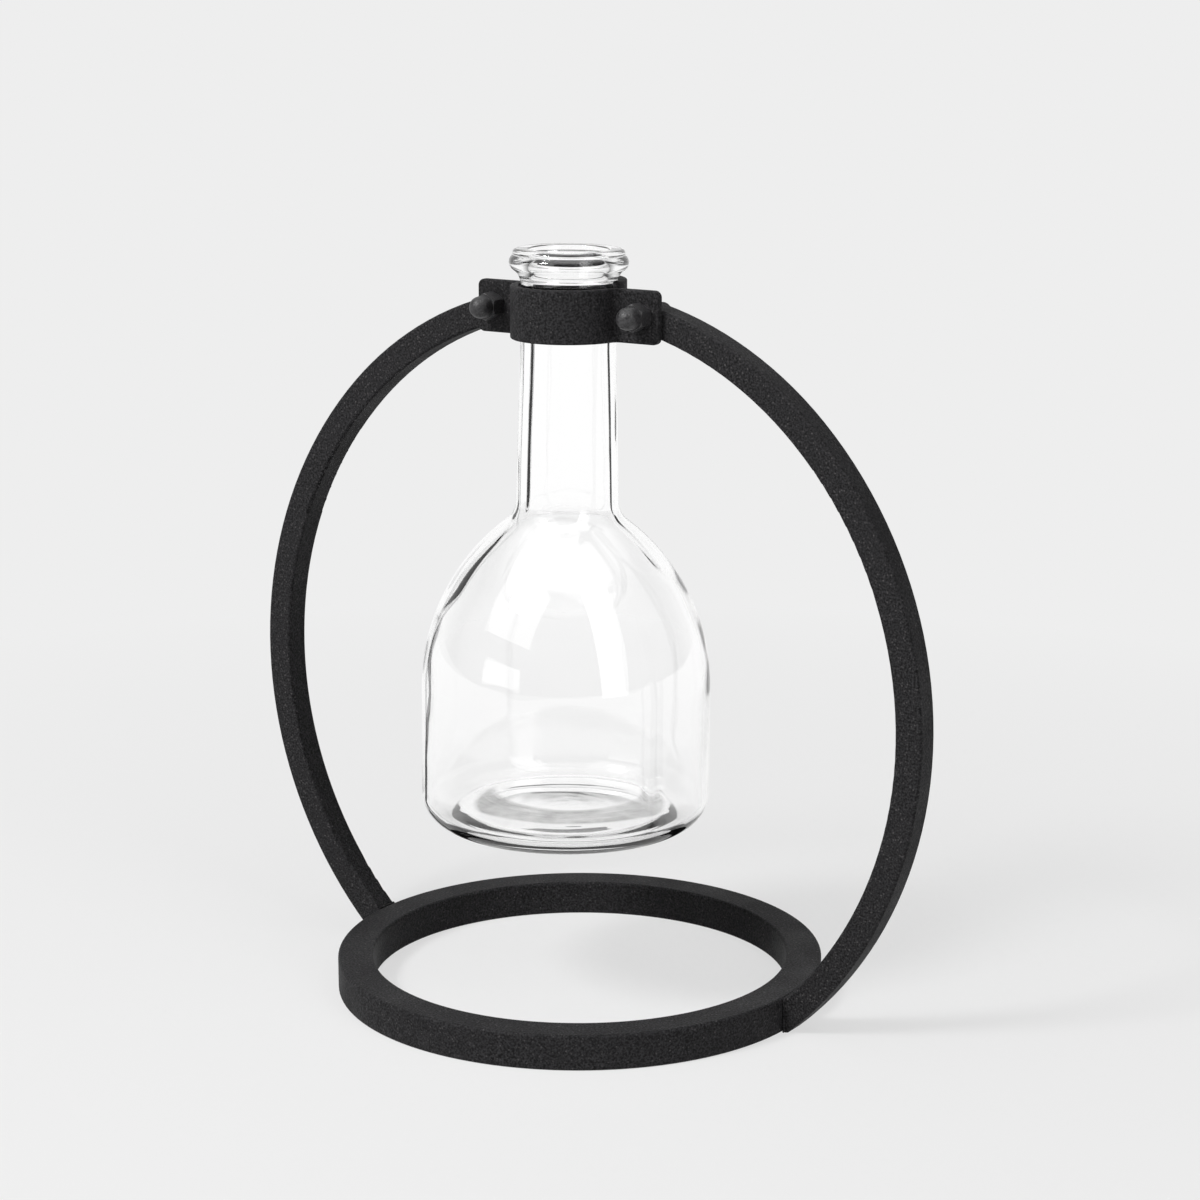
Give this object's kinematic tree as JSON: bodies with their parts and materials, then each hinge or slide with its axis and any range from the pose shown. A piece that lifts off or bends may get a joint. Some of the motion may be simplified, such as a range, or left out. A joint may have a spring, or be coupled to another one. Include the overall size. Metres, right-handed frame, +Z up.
{
  "type": "hoop-framed hanging bottle vase",
  "caption": "Clear glass bottle vase hung by its lip in a collar at the top of an upright black steel hoop on a round base ring.",
  "frame": {"origin": "centre of the base ring on the table it stands on", "axes": "+Z up, X along the hoop's plane, collar's front strap and cap nuts on the -Y side"},
  "size_m": [0.1874, 0.119, 0.1814],
  "materials": {
    "black_steel": "matt textured powder coat",
    "clear_glass": "clear, blown"
  },
  "bodies": {
    "stand": {"base_ring": "black_steel", "hoop_left": "black_steel", "hoop_right": "black_steel", "foot_weld_left": "black_steel", "foot_weld_right": "black_steel", "collar_weld_left": "black_steel", "collar_weld_right": "black_steel", "collar_front": "black_steel", "collar_rear": "black_steel", "clamp_screws": "black_steel", "cap_nuts": "black_steel"},
    "bottle": {"bottle": "clear_glass"}
  },
  "joints": [
    {"name": "bottle_lift", "type": "slide", "parent": "stand", "child": "bottle", "axis": [0, 0, 1], "range_m": [0, 0.0119]}
  ]
}
